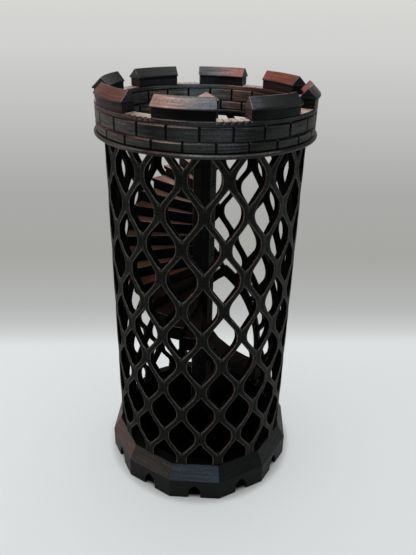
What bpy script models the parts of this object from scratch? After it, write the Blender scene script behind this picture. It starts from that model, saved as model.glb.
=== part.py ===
"""Castle-style dice tower with a lattice shell around a spiral stair.

Dice drop in through the crown, tumble down one full turn of wedge treads around the newel and
leave through the pointed doorway, which faces +Y.  The tower stands on z = 0 and its axis is Z.
All lengths are metres and all angles are degrees, counted anticlockwise from +X seen from above.
"""
import math

import bmesh
import bpy
from mathutils import Matrix, Vector

COLLECTION_NAME = "dice_tower"
GAP = 0.0003
CUT_REACH = 0.002
MERGE_DISTANCE = 0.000005
SMOOTH_ANGLE = 20.0

# Base: a twelve-sided plinth with a chamfered shoulder and one small arch in each face.
BASE_SIDES = 12
BASE_RADIUS = 0.0500
BASE_WALL_HEIGHT = 0.0116
BASE_HEIGHT = 0.0192
RIM_RADIUS = 0.0457
RIM_INNER_RADIUS = 0.0411
LEDGE_RADIUS = 0.0395
LEDGE_HEIGHT = 0.0157
ARCH_WIDTH = 0.0062
ARCH_HEIGHT = 0.0082
ARCH_SPRING = 0.0030
ARCH_STEPS = 4
FLOOR_THICKNESS = 0.0020
FLOOR_TOP = LEDGE_HEIGHT + GAP + FLOOR_THICKNESS
PEG_RADIUS = 0.0040
PEG_LENGTH = 0.0050

# Lattice shell: openings in staggered rows on a cylinder.
SHELL_OUTER_RADIUS = 0.0448
SHELL_THICKNESS = 0.0034
SHELL_RADIUS = SHELL_OUTER_RADIUS - SHELL_THICKNESS / 2
COLUMN_STEP = 12.0
COLUMN_COUNT = 30
ROW_STEP = 0.01468
ROW_TOP_Z = 0.1541
ROWS_ABOVE = 2
ROWS_BELOW = 10
OPENING_HALF_WIDTH = 0.00668
OPENING_HALF_HEIGHT = 0.0112
OPENING_SIDE = 0.0026
SHELL_BOTTOM = BASE_HEIGHT + GAP
SHELL_TOP = 0.1782
TOP_RING_HEIGHT = 0.0008
RING_STEPS = 60

# Doorway: a pointed arch struck from two centres, with a moulded surround.
DOOR_HALF_WIDTH = 0.0218
DOOR_SPRING_Z = 0.0430
DOOR_APEX_Z = 0.0845
DOOR_SILL_Z = FLOOR_TOP + GAP
SURROUND_WIDTH = 0.0036
SURROUND_INNER_RADIUS = 0.0409
SURROUND_OUTER_RADIUS = 0.0462
DOOR_ARC_STEPS = 8
DOOR_PRISM_OUTER = 0.0550
DOOR_PRISM_DEPTH = 0.0350
APEX_GROWTH = 1.7

# Spiral stair: wedge treads around an octagonal newel.
NEWEL_SIDES = 8
NEWEL_RADIUS = 0.0057
NEWEL_TOP = 0.1906
NEWEL_CAP_RADIUS = 0.0060
NEWEL_CAP_EDGE = 0.0008
NEWEL_CAP_TOP = 0.1950
TREAD_COUNT = 28
TREAD_SWEEP = 12.0
TREAD_RISE = 0.00513
TREAD_TOP_Z = 0.16355
TREAD_TOP_ANGLE = 116.9
TREAD_THICKNESS = 0.0070
TREAD_OUTER_RADIUS = 0.0373
NOSING_SWEEP = 1.6
NOSING_ROOT_SWEEP = 1.0
NOSING_THICKNESS = 0.0016

# Crown: flange, two brick courses, walkway and eight roofed merlons.
CROWN_BOTTOM = SHELL_TOP + GAP
CROWN_INNER_RADIUS = 0.0420
CROWN_WALL_RADIUS = 0.0481
FLANGE_RADIUS = 0.0491
FLANGE_HEIGHT = 0.0018
FLANGE_BEVEL = 0.0004
BRICK_COUNT = 24
BRICK_SWEEP = 360.0 / BRICK_COUNT
BRICK_JOINT = 1.0
BRICK_JOINT_DEPTH = 0.0007
LOWER_COURSE_HEIGHT = 0.0038
UPPER_COURSE_HEIGHT = 0.0056
WALKWAY_HEIGHT = 0.0017
PAVERS_PER_CRENEL = 5
PAVER_HEIGHT = 0.0005
PAVER_JOINT = 0.4
MERLON_COUNT = 8
MERLON_START = 7.5
MERLON_SWEEP = 29.2
MERLON_TOP = 0.1957
MERLON_STEPS = 5
ROOF_OVERHANG = 0.0008
ROOF_END_OVERHANG = 0.4
ROOF_EDGE = 0.0006
ROOF_RIDGE = 0.2004

SILK_BLACK = (0.030, 0.031, 0.034, 1.0)
SILK_COPPER = (0.190, 0.085, 0.065, 1.0)


def clear_scene():
    for item in list(bpy.data.objects):
        bpy.data.objects.remove(item, do_unlink=True)


def make_collection(name):
    group = bpy.data.collections.new(name)
    bpy.context.scene.collection.children.link(group)
    return group


def make_material(name, color, roughness, metallic):
    material = bpy.data.materials.new(name)
    material.use_nodes = True
    shader = material.node_tree.nodes["Principled BSDF"]
    shader.inputs["Base Color"].default_value = color
    shader.inputs["Roughness"].default_value = roughness
    shader.inputs["Metallic"].default_value = metallic
    return material


def polar(radius, angle, z=0.0):
    turn = math.radians(angle)
    return Vector((radius * math.cos(turn), radius * math.sin(turn), z))


def mesh_from(bm, name, smooth_angle=None):
    bmesh.ops.recalc_face_normals(bm, faces=bm.faces)
    mesh = bpy.data.meshes.new(name)
    bm.to_mesh(mesh)
    bm.free()
    if smooth_angle is not None:
        mesh.shade_smooth()
        mesh.set_sharp_from_angle(angle=math.radians(smooth_angle))
    return mesh


def add_part(name, mesh, material, parent=None, angle=0.0, z=0.0):
    part = bpy.data.objects.new(name, mesh)
    if not mesh.materials:
        mesh.materials.append(material)
    PARTS.objects.link(part)
    part.parent = parent
    part.rotation_euler = (0.0, 0.0, math.radians(angle))
    part.location = (0.0, 0.0, z)
    return part


def add_cutter(name, mesh):
    cutter = bpy.data.objects.new(name, mesh)
    CUTTERS.objects.link(cutter)
    cutter.hide_render = True
    cutter.display_type = "WIRE"
    return cutter


def add_boolean(part, other, operation):
    boolean = part.modifiers.new(operation.lower() + "_" + other.name, "BOOLEAN")
    boolean.operation = operation
    boolean.solver = "EXACT"
    boolean.object = other


def empty_on_axis(name, z):
    empty = bpy.data.objects.new(name, None)
    empty.empty_display_size = 0.01
    PARTS.objects.link(empty)
    empty.location = (0.0, 0.0, z)
    return empty


def turned_mesh(name, profile, steps, smooth_angle=None):
    """Turn a closed (radius, z) outline right round the Z axis."""
    bm = bmesh.new()
    ring = [bm.verts.new((radius, 0.0, z)) for radius, z in profile]
    edges = [bm.edges.new((ring[i - 1], ring[i])) for i in range(len(ring))]
    bmesh.ops.spin(bm, geom=ring + edges, cent=(0, 0, 0), axis=(0, 0, 1),
                   angle=2 * math.pi, steps=steps, use_merge=True)
    bmesh.ops.remove_doubles(bm, verts=bm.verts, dist=MERGE_DISTANCE)
    return mesh_from(bm, name, smooth_angle)


def solid_turned_mesh(name, profile, steps):
    """Turn an outline that starts and ends on the axis, so that the result has no hole."""
    bm = bmesh.new()
    line = [bm.verts.new((radius, 0.0, z)) for radius, z in profile]
    edges = [bm.edges.new((line[i], line[i + 1])) for i in range(len(line) - 1)]
    bmesh.ops.spin(bm, geom=line + edges, cent=(0, 0, 0), axis=(0, 0, 1),
                   angle=2 * math.pi, steps=steps, use_merge=True)
    bmesh.ops.remove_doubles(bm, verts=bm.verts, dist=MERGE_DISTANCE)
    return mesh_from(bm, name)


def sector_mesh(name, profile, start, sweep, steps, smooth_angle=None):
    """Sweep a filled (radius, z) outline through part of a turn."""
    bm = bmesh.new()
    face = bm.faces.new([bm.verts.new(polar(radius, start, z)) for radius, z in profile])
    geometry = list(face.verts) + list(face.edges) + [face]
    bmesh.ops.spin(bm, geom=geometry, cent=(0, 0, 0), axis=(0, 0, 1),
                   angle=math.radians(sweep), steps=steps)
    return mesh_from(bm, name, smooth_angle)


def prism_mesh(name, outline, height, matrix):
    """Extrude a flat outline and place it with a matrix."""
    bm = bmesh.new()
    face = bm.faces.new([bm.verts.new((x, y, 0.0)) for x, y in outline])
    extruded = bmesh.ops.extrude_face_region(bm, geom=[face])
    moved = [item for item in extruded["geom"] if isinstance(item, bmesh.types.BMVert)]
    bmesh.ops.translate(bm, verts=moved, vec=(0.0, 0.0, height))
    bmesh.ops.transform(bm, verts=bm.verts, matrix=matrix)
    return mesh_from(bm, name)


def radial_placement(radius):
    """Stand an (across, up) outline upright at +X, extruding towards the axis."""
    across = Vector((0.0, 1.0, 0.0))
    up = Vector((0.0, 0.0, 1.0))
    inward = Vector((-1.0, 0.0, 0.0))
    placement = Matrix((across, up, inward)).transposed().to_4x4()
    placement.translation = Vector((radius, 0.0, 0.0))
    return placement


def ring_outline(inner, outer, z_low, z_high):
    return [(outer, z_high), (outer, z_low), (inner, z_low), (inner, z_high)]


def pointed_arch(half_width, foot_z, spring_z, apex_z, steps):
    """Outline of a doorway whose two arcs are struck from points on the spring line."""
    rise = apex_z - spring_z
    radius = (half_width ** 2 + rise ** 2) / (2 * half_width)
    centre = half_width - radius
    top = math.acos(-centre / radius)
    right = [(half_width, foot_z)]
    for i in range(steps):
        turn = top * i / steps
        right.append((centre + radius * math.cos(turn), spring_z + radius * math.sin(turn)))
    left = [(-x, z) for x, z in reversed(right)]
    return right + [(0.0, apex_z)] + left


def build_base():
    rim_outline = [
        (RIM_RADIUS, BASE_HEIGHT),
        (BASE_RADIUS, BASE_WALL_HEIGHT),
        (BASE_RADIUS, 0.0),
        (LEDGE_RADIUS, 0.0),
        (LEDGE_RADIUS, LEDGE_HEIGHT),
        (RIM_INNER_RADIUS, LEDGE_HEIGHT),
        (RIM_INNER_RADIUS, BASE_HEIGHT),
    ]
    plinth = add_part("base_plinth", turned_mesh("base_plinth", rim_outline, BASE_SIDES), SHELL_MATERIAL)

    arch = pointed_arch(ARCH_WIDTH / 2, -CUT_REACH, ARCH_SPRING, ARCH_HEIGHT, ARCH_STEPS)
    depth = BASE_RADIUS - LEDGE_RADIUS + 3 * CUT_REACH
    placement = radial_placement(BASE_RADIUS + CUT_REACH)
    for i in range(BASE_SIDES):
        facet_angle = (i + 0.5) * 360.0 / BASE_SIDES
        stand = Matrix.Rotation(math.radians(facet_angle), 4, "Z") @ placement
        arch_mesh = prism_mesh("base_arch_cutter", arch, depth, stand)
        add_boolean(plinth, add_cutter(f"base_arch_cutter_{i + 1:02d}", arch_mesh), "DIFFERENCE")

    sill_reach = DOOR_HALF_WIDTH + SURROUND_WIDTH + GAP
    sill = [(-sill_reach, 0.0), (sill_reach, 0.0), (sill_reach, BASE_RADIUS), (-sill_reach, BASE_RADIUS)]
    sill_cutter = add_cutter("door_sill_cutter", prism_mesh(
        "door_sill_cutter", sill, BASE_HEIGHT, Matrix.Translation((0.0, 0.0, FLOOR_TOP))))
    add_boolean(plinth, sill_cutter, "DIFFERENCE")

    floor_radius = RIM_INNER_RADIUS - 2 * GAP
    floor_outline = ring_outline(PEG_RADIUS + GAP, floor_radius, LEDGE_HEIGHT + GAP, FLOOR_TOP)
    add_part("floor_plate", turned_mesh("floor_plate", floor_outline, BASE_SIDES), SHELL_MATERIAL)


def door_prism(name, half_width, foot_z, apex_z):
    """A solid with the doorway's outline that passes through the +Y side of the shell."""
    outline = pointed_arch(half_width, foot_z, DOOR_SPRING_Z, apex_z, DOOR_ARC_STEPS)
    facing_door = Matrix.Rotation(math.radians(90.0), 4, "Z") @ radial_placement(DOOR_PRISM_OUTER)
    return prism_mesh(name, outline, DOOR_PRISM_DEPTH, facing_door)


def surround_outline(extra):
    """Half width and apex height of the doorway grown by the given margin."""
    return DOOR_HALF_WIDTH + extra, DOOR_APEX_Z + extra * APEX_GROWTH


def lattice_point(column, row, across, up):
    angle = column * COLUMN_STEP + math.degrees(across / SHELL_OUTER_RADIUS)
    z = ROW_TOP_Z - row * ROW_STEP + up
    return polar(SHELL_RADIUS, angle, z)


def lattice_surface():
    """Open cylindrical surface of crossing bars: a hexagon at each crossing and a bar between."""
    bm = bmesh.new()
    made = {}

    def corner(column, row, place):
        """One of the six corners of the opening centred on a column and row."""
        key = (column % COLUMN_COUNT, row, place)
        if key not in made:
            across, up = {
                "top": (0.0, OPENING_HALF_HEIGHT),
                "bottom": (0.0, -OPENING_HALF_HEIGHT),
                "upper_right": (OPENING_HALF_WIDTH, OPENING_SIDE),
                "lower_right": (OPENING_HALF_WIDTH, -OPENING_SIDE),
                "upper_left": (-OPENING_HALF_WIDTH, OPENING_SIDE),
                "lower_left": (-OPENING_HALF_WIDTH, -OPENING_SIDE),
            }[place]
            made[key] = bm.verts.new(lattice_point(column, row, across, up))
        return made[key]

    for row in range(-ROWS_ABOVE, ROWS_BELOW + 1):
        for column in range(COLUMN_COUNT):
            if (column + row) % 2:
                continue
            left, right = column - 1, column + 1
            above, below = row - 1, row + 1
            bm.faces.new([
                corner(column, above, "bottom"), corner(left, row, "upper_right"),
                corner(left, row, "lower_right"), corner(column, below, "top"),
                corner(right, row, "lower_left"), corner(right, row, "upper_left"),
            ])
            bm.faces.new([
                corner(left, row, "lower_right"), corner(left, row, "bottom"),
                corner(column, below, "upper_left"), corner(column, below, "top"),
            ])
            bm.faces.new([
                corner(right, row, "lower_left"), corner(column, below, "top"),
                corner(column, below, "upper_right"), corner(right, row, "bottom"),
            ])
    for height, direction in ((SHELL_BOTTOM, -1.0), (SHELL_TOP - TOP_RING_HEIGHT / 2, 1.0)):
        bmesh.ops.bisect_plane(bm, geom=list(bm.verts) + list(bm.edges) + list(bm.faces), dist=0.000001,
                               plane_co=(0, 0, height), plane_no=(0, 0, direction), clear_outer=True)
    bmesh.ops.triangulate(bm, faces=bm.faces)
    return mesh_from(bm, "lattice_shell")


def build_shell():
    shell = add_part("lattice_shell", lattice_surface(), SHELL_MATERIAL)
    thickness = shell.modifiers.new("bar_thickness", "SOLIDIFY")
    thickness.thickness = SHELL_THICKNESS
    thickness.offset = 0.0

    ring = ring_outline(SHELL_OUTER_RADIUS - SHELL_THICKNESS, SHELL_OUTER_RADIUS,
                        SHELL_TOP - TOP_RING_HEIGHT, SHELL_TOP)
    ring_mesh = turned_mesh("top_ring_guide", ring, RING_STEPS)
    add_boolean(shell, add_cutter("top_ring_guide", ring_mesh), "UNION")

    half_width, apex_z = surround_outline(SURROUND_WIDTH + GAP)
    shell_cutter = add_cutter("shell_door_cutter", door_prism("shell_door_cutter", half_width, 0.0, apex_z))
    add_boolean(shell, shell_cutter, "DIFFERENCE")

    half_width, apex_z = surround_outline(SURROUND_WIDTH)
    outer_arch = door_prism("door_surround", half_width, DOOR_SILL_Z, apex_z)
    surround = add_part("door_surround", outer_arch, SHELL_MATERIAL)
    tube = ring_outline(SURROUND_INNER_RADIUS, SURROUND_OUTER_RADIUS, 0.0, SHELL_TOP)
    surround_guide = add_cutter("surround_guide", turned_mesh("surround_guide", tube, RING_STEPS))
    add_boolean(surround, surround_guide, "INTERSECT")
    doorway = add_cutter("doorway_cutter", door_prism("doorway_cutter", DOOR_HALF_WIDTH, 0.0, DOOR_APEX_Z))
    add_boolean(surround, doorway, "DIFFERENCE")


def build_newel(stair_axis):
    column_outline = [
        (0.0, NEWEL_TOP), (NEWEL_RADIUS, NEWEL_TOP), (NEWEL_RADIUS, FLOOR_TOP + GAP),
        (PEG_RADIUS, FLOOR_TOP + GAP), (PEG_RADIUS, FLOOR_TOP - PEG_LENGTH), (0.0, FLOOR_TOP - PEG_LENGTH),
    ]
    add_part("newel_column", solid_turned_mesh("newel_column", column_outline, NEWEL_SIDES),
             STAIR_MATERIAL, stair_axis)
    cap_bottom = NEWEL_TOP + GAP
    cap_outline = [
        (0.0, NEWEL_CAP_TOP), (NEWEL_CAP_RADIUS, cap_bottom + NEWEL_CAP_EDGE),
        (NEWEL_CAP_RADIUS, cap_bottom), (0.0, cap_bottom),
    ]
    add_part("newel_cap", solid_turned_mesh("newel_cap", cap_outline, NEWEL_SIDES),
             STAIR_MATERIAL, stair_axis)


def tread_mesh(name, thickness):
    """A wedge that ends at its front edge, angle 0, with its top at z = 0."""
    inner = NEWEL_RADIUS + GAP
    side_gap = math.degrees(GAP / inner) / 2
    body = ring_outline(inner, TREAD_OUTER_RADIUS, -thickness, 0.0)
    return sector_mesh(name, body, side_gap - TREAD_SWEEP, TREAD_SWEEP - side_gap, 2, SMOOTH_ANGLE)


def build_treads(stair_axis):
    """Equal treads with a projecting nosing; the lowest is cut thinner by the floor."""
    lowest_top = TREAD_TOP_Z - (TREAD_COUNT - 1) * TREAD_RISE
    full_tread = tread_mesh("tread", TREAD_THICKNESS)
    lowest_tread = tread_mesh("lowest_tread", lowest_top - FLOOR_TOP - GAP)
    nosing = ring_outline(NEWEL_RADIUS + GAP, TREAD_OUTER_RADIUS, -NOSING_THICKNESS, 0.0)
    nosing_sweep = NOSING_ROOT_SWEEP + NOSING_SWEEP
    nosing_mesh = sector_mesh("nosing_guide", nosing, -NOSING_ROOT_SWEEP, nosing_sweep, 1)
    for i in range(TREAD_COUNT):
        mesh = lowest_tread if i == TREAD_COUNT - 1 else full_tread
        tread = add_part(f"tread_{i + 1:02d}", mesh, STAIR_MATERIAL, stair_axis,
                         TREAD_TOP_ANGLE + i * TREAD_SWEEP, TREAD_TOP_Z - i * TREAD_RISE)
        lip = add_cutter(f"nosing_guide_{i + 1:02d}", nosing_mesh)
        lip.rotation_euler = tread.rotation_euler
        lip.location = tread.location
        add_boolean(tread, lip, "UNION")


def course_mesh(name, first_joint, height):
    """A ring of bricks: the joints are grooves in its outer and inner faces."""
    outer = []
    inner = []
    half_joint = BRICK_JOINT / 2
    for i in range(BRICK_COUNT):
        joint = first_joint + i * BRICK_SWEEP
        middle = joint + BRICK_SWEEP / 2
        for angle, depth in ((joint - half_joint, 1.0), (joint + half_joint, 1.0),
                             (joint + half_joint, 0.0), (middle, 0.0),
                             (joint + BRICK_SWEEP - half_joint, 0.0)):
            groove = depth * BRICK_JOINT_DEPTH
            outer.append(polar(CROWN_WALL_RADIUS - groove, angle))
            inner.append(polar(CROWN_INNER_RADIUS + groove, angle))
    bm = bmesh.new()
    outer_verts = [bm.verts.new(point) for point in outer]
    inner_verts = [bm.verts.new(point) for point in inner]
    count = len(outer_verts)
    faces = [bm.faces.new((outer_verts[i - 1], outer_verts[i], inner_verts[i], inner_verts[i - 1]))
             for i in range(count)]
    extruded = bmesh.ops.extrude_face_region(bm, geom=faces)
    moved = [item for item in extruded["geom"] if isinstance(item, bmesh.types.BMVert)]
    bmesh.ops.translate(bm, verts=moved, vec=(0.0, 0.0, height))
    return mesh_from(bm, name, SMOOTH_ANGLE)


def build_crown_wall(crown_axis):
    bevelled = FLANGE_RADIUS - FLANGE_BEVEL
    flange_outline = [
        (bevelled, FLANGE_HEIGHT), (FLANGE_RADIUS, FLANGE_HEIGHT / 2), (bevelled, 0.0),
        (CROWN_INNER_RADIUS, 0.0), (CROWN_INNER_RADIUS, FLANGE_HEIGHT),
    ]
    add_part("crown_flange", turned_mesh("crown_flange", flange_outline, RING_STEPS, SMOOTH_ANGLE),
             CROWN_MATERIAL, crown_axis)
    lower_z = FLANGE_HEIGHT + GAP
    add_part("lower_brick_course", course_mesh("lower_brick_course", BRICK_SWEEP / 2, LOWER_COURSE_HEIGHT),
             CROWN_MATERIAL, crown_axis, z=lower_z)
    upper_z = lower_z + LOWER_COURSE_HEIGHT + GAP
    add_part("upper_brick_course", course_mesh("upper_brick_course", 0.0, UPPER_COURSE_HEIGHT),
             CROWN_MATERIAL, crown_axis, z=upper_z)
    walkway_z = upper_z + UPPER_COURSE_HEIGHT + GAP
    band = ring_outline(CROWN_INNER_RADIUS, CROWN_WALL_RADIUS, 0.0, WALKWAY_HEIGHT)
    walkway = add_part("walkway_ring", turned_mesh("walkway_ring", band, RING_STEPS, SMOOTH_ANGLE),
                       CROWN_MATERIAL, crown_axis, z=walkway_z)
    top_z = CROWN_BOTTOM + walkway_z + WALKWAY_HEIGHT
    add_boolean(walkway, add_cutter("paver_joint_cutter", paver_joints_mesh("paver_joint_cutter", top_z)),
                "DIFFERENCE")
    return walkway_z + WALKWAY_HEIGHT + GAP


def paver_joints_mesh(name, z):
    """Thin radial bars, one for each joint between the paving stones of every crenel."""
    crenel = 360.0 / MERLON_COUNT - MERLON_SWEEP
    pitch = crenel / PAVERS_PER_CRENEL
    outline = ring_outline(CROWN_INNER_RADIUS - CUT_REACH, CROWN_WALL_RADIUS + CUT_REACH,
                           z - PAVER_HEIGHT, z + CUT_REACH)
    bm = bmesh.new()
    for i in range(MERLON_COUNT):
        middle = MERLON_START + (i + 0.5) * 360.0 / MERLON_COUNT
        for j in range(PAVERS_PER_CRENEL + 1):
            start = middle - crenel / 2 + j * pitch - PAVER_JOINT / 2
            bar = sector_mesh("bar", outline, start, PAVER_JOINT, 1)
            bm.from_mesh(bar)
            bpy.data.meshes.remove(bar)
    return mesh_from(bm, name)


def build_parapet(crown_axis, foot_z):
    body_top = MERLON_TOP - CROWN_BOTTOM
    ridge_z = ROOF_RIDGE - CROWN_BOTTOM
    ridge_radius = (CROWN_INNER_RADIUS + CROWN_WALL_RADIUS) / 2
    edge_z = body_top + GAP + ROOF_EDGE
    eave_inner = CROWN_INNER_RADIUS - ROOF_OVERHANG / 2
    eave_outer = CROWN_WALL_RADIUS + ROOF_OVERHANG
    body_outline = ring_outline(CROWN_INNER_RADIUS, CROWN_WALL_RADIUS, foot_z, body_top)
    roof_outline = [
        (ridge_radius, ridge_z), (eave_outer, edge_z), (eave_outer, body_top + GAP),
        (eave_inner, body_top + GAP), (eave_inner, edge_z),
    ]
    roof_sweep = MERLON_SWEEP + 2 * ROOF_END_OVERHANG
    body_mesh = sector_mesh("merlon", body_outline, -MERLON_SWEEP / 2, MERLON_SWEEP,
                            MERLON_STEPS, SMOOTH_ANGLE)
    roof_mesh = sector_mesh("merlon_roof", roof_outline, -roof_sweep / 2, roof_sweep,
                            MERLON_STEPS, SMOOTH_ANGLE)
    for i in range(MERLON_COUNT):
        angle = MERLON_START + i * 360.0 / MERLON_COUNT
        add_part(f"merlon_{i + 1}", body_mesh, CROWN_MATERIAL, crown_axis, angle)
        add_part(f"merlon_roof_{i + 1}", roof_mesh, ROOF_MATERIAL, crown_axis, angle)


clear_scene()
PARTS = make_collection(COLLECTION_NAME)
CUTTERS = make_collection("cutters")
SHELL_MATERIAL = make_material("shell_silk", SILK_BLACK, 0.42, 0.25)
STAIR_MATERIAL = make_material("stair_silk", SILK_COPPER, 0.45, 0.25)
CROWN_MATERIAL = make_material("crown_silk", SILK_BLACK, 0.40, 0.25)
ROOF_MATERIAL = make_material("roof_silk", SILK_COPPER, 0.38, 0.30)

build_base()
build_shell()
stair = empty_on_axis("stair_axis", 0.0)
build_newel(stair)
build_treads(stair)
crown = empty_on_axis("crown_axis", CROWN_BOTTOM)
parapet_foot = build_crown_wall(crown)
build_parapet(crown, parapet_foot)
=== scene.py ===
"""Looks of the castle-style dice tower: printed silk filament, lattice, brick crown and spiral stair.

Lengths are metres, angles degrees anticlockwise from +X seen from above; the doorway faces +Y.
"""
import math

import bmesh
import bpy
from mathutils import Matrix, Vector


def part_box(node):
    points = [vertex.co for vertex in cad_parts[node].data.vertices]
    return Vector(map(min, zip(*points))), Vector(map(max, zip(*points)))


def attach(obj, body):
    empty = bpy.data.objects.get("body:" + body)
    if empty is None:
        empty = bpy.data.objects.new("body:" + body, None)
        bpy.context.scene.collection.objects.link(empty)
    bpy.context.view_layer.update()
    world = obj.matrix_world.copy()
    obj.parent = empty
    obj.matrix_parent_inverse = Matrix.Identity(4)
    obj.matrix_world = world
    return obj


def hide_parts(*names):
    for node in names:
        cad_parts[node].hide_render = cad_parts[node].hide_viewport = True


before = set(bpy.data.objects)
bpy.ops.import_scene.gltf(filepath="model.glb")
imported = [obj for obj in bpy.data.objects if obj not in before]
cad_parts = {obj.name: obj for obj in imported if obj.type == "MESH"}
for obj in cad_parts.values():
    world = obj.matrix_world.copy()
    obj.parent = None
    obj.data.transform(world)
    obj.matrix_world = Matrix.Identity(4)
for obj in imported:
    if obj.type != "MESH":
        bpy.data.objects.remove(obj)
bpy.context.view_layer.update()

# ---------------------------------------------------------------- sizes read from the frame
shell_low, shell_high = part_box("lattice_shell")
base_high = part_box("base_plinth")[1]
floor_low, floor_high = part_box("floor_plate")
flange_low, flange_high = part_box("crown_flange")
walk_low, walk_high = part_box("walkway_ring")
merlon_low, merlon_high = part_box("merlon_1")
roof_low, roof_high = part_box("merlon_roof_1")
column_low, column_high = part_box("newel_column")
cap_low, cap_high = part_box("newel_cap")

# ---------------------------------------------------------------- gaps and steps
# Pieces stand GAP apart in the frame; those fixed to each other are drawn to within SEAM of touching.
GAP = 0.0003
SEAM = 0.00004
ROUND_STEPS = 180
ARCH_STEPS = 24
BLOCK_STEPS = 15
# How far out from the axis a cutting block reaches.
CUT_REACH = 0.055

# ---------------------------------------------------------------- lattice
SHELL_RADIUS = 0.0448
SHELL_DEPTH = 0.0034
COLUMN_STEP = 12.0
COLUMN_COUNT = 30
ROW_STEP = 0.01468
ROW_TOP = 0.1541
FIRST_ROW = -2
LAST_ROW = 10
# An opening is a diamond with rounded sides; its width and height are counted from its middle.
OPENING_WIDTH = 0.00668
OPENING_HEIGHT = 0.0112
OPENING_SIDE = 0.0026
BEND_RADIUS = 0.0062
STRAIGHT_STEPS = 3
BEND_STEPS = 5
# Places across a bar, and how deep its rounded face lies at each of them.
ACROSS = (0.0, 0.07, 0.22, 0.5, 0.78, 0.93, 1.0)
ACROSS_DEPTH = (0.00060, 0.00022, 0.00004, 0.0, 0.00004, 0.00022, 0.00060)
# At a crossing a valley runs between the two strands, and the outer flanks are rounded.
VALLEY_DEPTH = 0.00048
VALLEY_SPREAD = 0.34
VALLEY_POWER = 1.3
VALLEY_FADE = 0.25
FLANK_START = 0.55
FLANK_SPREAD = 0.45
FLANK_POWER = 2.2
TOP_RING = 0.0008
# Corners of the lattice that fall on the same step of a degree and of a metre are one corner.
STEPS_PER_DEGREE = 2000
STEPS_PER_METRE = 2e6
CUT_TOLERANCE = 1e-7
LATTICE_CREASE = 60.0

# ---------------------------------------------------------------- doorway
DOOR_ANGLE = 90.0
DOOR_HALF_WIDTH = 0.0218
DOOR_SPRING = 0.0430
DOOR_APEX = 0.0845
DOOR_CUT_INNER = 0.020
SURROUND_WIDTH = 0.0036
SURROUND_INNER = 0.0409
SURROUND_SEAM = 0.00003
# A moulding of even width reaches this many times its width above the apex of the doorway.
APEX_GROWTH = 1.7
# Section of the moulding: distance out from the opening, and height over its inner face.
SURROUND_SECTION = ((0.0, 0.0008), (0.0, 0.0039), (0.0003, 0.0043), (0.0010, 0.0045), (0.0013, 0.0050),
                    (0.0020, 0.0053), (0.0028, 0.0053), (0.0034, 0.0050), (0.0036, 0.0044),
                    (0.0036, 0.0006), (0.0033, 0.0), (0.0006, 0.0))

# ---------------------------------------------------------------- base
BASE_SIDES = 12
BASE_RIM = 0.0457
BASE_INNER_RIM = 0.0411
BASE_WALL_TOP = 0.0116
LEDGE_RADIUS = 0.0395
LEDGE_HEIGHT = 0.0157
NOTCH_HALF_WIDTH = 0.0031
NOTCH_FOOT = -0.002
NOTCH_SPRING = 0.0030
NOTCH_APEX = 0.0082
NOTCH_STEPS = 10
NOTCH_OUTER = 0.052
NOTCH_INNER = 0.0355
SILL_TOP = 0.03
SILL_INNER = 0.010
BASE_CREASE = 20.0

# ---------------------------------------------------------------- stair
TREAD_COUNT = 28
TREAD_SWEEP = 12.0
TREAD_TOP_ANGLE = 116.9
TREAD_OUTER = 0.0373
NOSING_SWEEP = 1.6
NOSING_THICKNESS = 0.0016
NEWEL_RADIUS = 0.0057
NEWEL_SIDES = 8
NEWEL_SIDE_SWEEP = 360.0 / NEWEL_SIDES
NEWEL_COURSE = 0.0093
NEWEL_JOINT = 0.00022
NEWEL_GROOVE = 0.00016
NEWEL_CREASE = 25.0
# Places along one side of a course, and whether they lie in the upright joint of every other side.
SIDE_PLACES = ((0.0, False), (0.44, False), (0.475, True), (0.525, True), (0.56, False))
CAP_EDGE = 0.0008
PEG_RADIUS = 0.0040
PEG_STEPS = 40

# ---------------------------------------------------------------- crown
CROWN_INNER = 0.0420
CROWN_OUTER = 0.0481
FLANGE_EDGE = 0.0002
FLANGE_STEP = 22.5
FLANGE_POINTS = 9
FLANGE_BULGE = 0.9
BRICK_COUNT = 24
BRICK_SWEEP = 360.0 / BRICK_COUNT
BRICK_EDGE = 0.00022
BRICK_JOINT_SWEEP = 0.75
BRICK_JOINT_DEPTH = 0.00065
# Angles along a brick, counted from the joint before it.
BRICK_PLACES = (3.5, 5.5, 7.5, 9.5, 11.5)
MERLON_COUNT = 8
MERLON_PITCH = 360.0 / MERLON_COUNT
MERLON_START = 7.5
MERLON_SWEEP = 29.2
MERLON_PLACES = (-14.2, -10, -5, 0, 5, 10, 14.2)
PAVERS = 5
PAVER_PITCH = (MERLON_PITCH - MERLON_SWEEP) / PAVERS
PAVER_JOINT_SWEEP = 0.38
PAVER_JOINT_DEPTH = 0.0005
PAVER_BULGE = 0.00035
PAVER_LEAN = 0.55
# Across the top of the walkway: distance from the nearer edge, and how far the stone falls there.
PAVER_EDGE = ((0.0, 0.00040), (0.00035, 0.00005), (0.0030, 0.0))
# Down its outer face: how far a joint lies back at the top and lower down, and where the stones end.
PAVER_JOINT_INSET = 0.0004
PAVER_JOINT_FOOT_INSET = 0.0002
PAVER_SIDE_DROP = 0.0009
PAVER_FOOT_DROP = 0.0012
# An angle counts as on a joint within this many degrees, and a place within this share of a stone.
JOINT_DEGREES = 0.02
JOINT_SHARE = 0.01
WALK_EDGE = 0.00035
WALK_FOOT_EDGE = 0.0003
EAVE_INNER = CROWN_INNER - 0.0004
EAVE_OUTER = CROWN_OUTER + 0.0008
EAVE_HEIGHT = 0.0006
EAVE_SWEEP = 0.4

# ---------------------------------------------------------------- filament
LAYER_HEIGHT = 0.0002
LAYER_SCALE = 2 * math.pi / (20 * LAYER_HEIGHT)
SPECKLE_SCALE = 1400.0
CLOUD_SCALE = 160.0
STREAK_STRETCH = (75.0, 75.0, 1700.0)
CLOUD_WANDER = 0.22
STREAK_WANDER = 0.20
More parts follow.
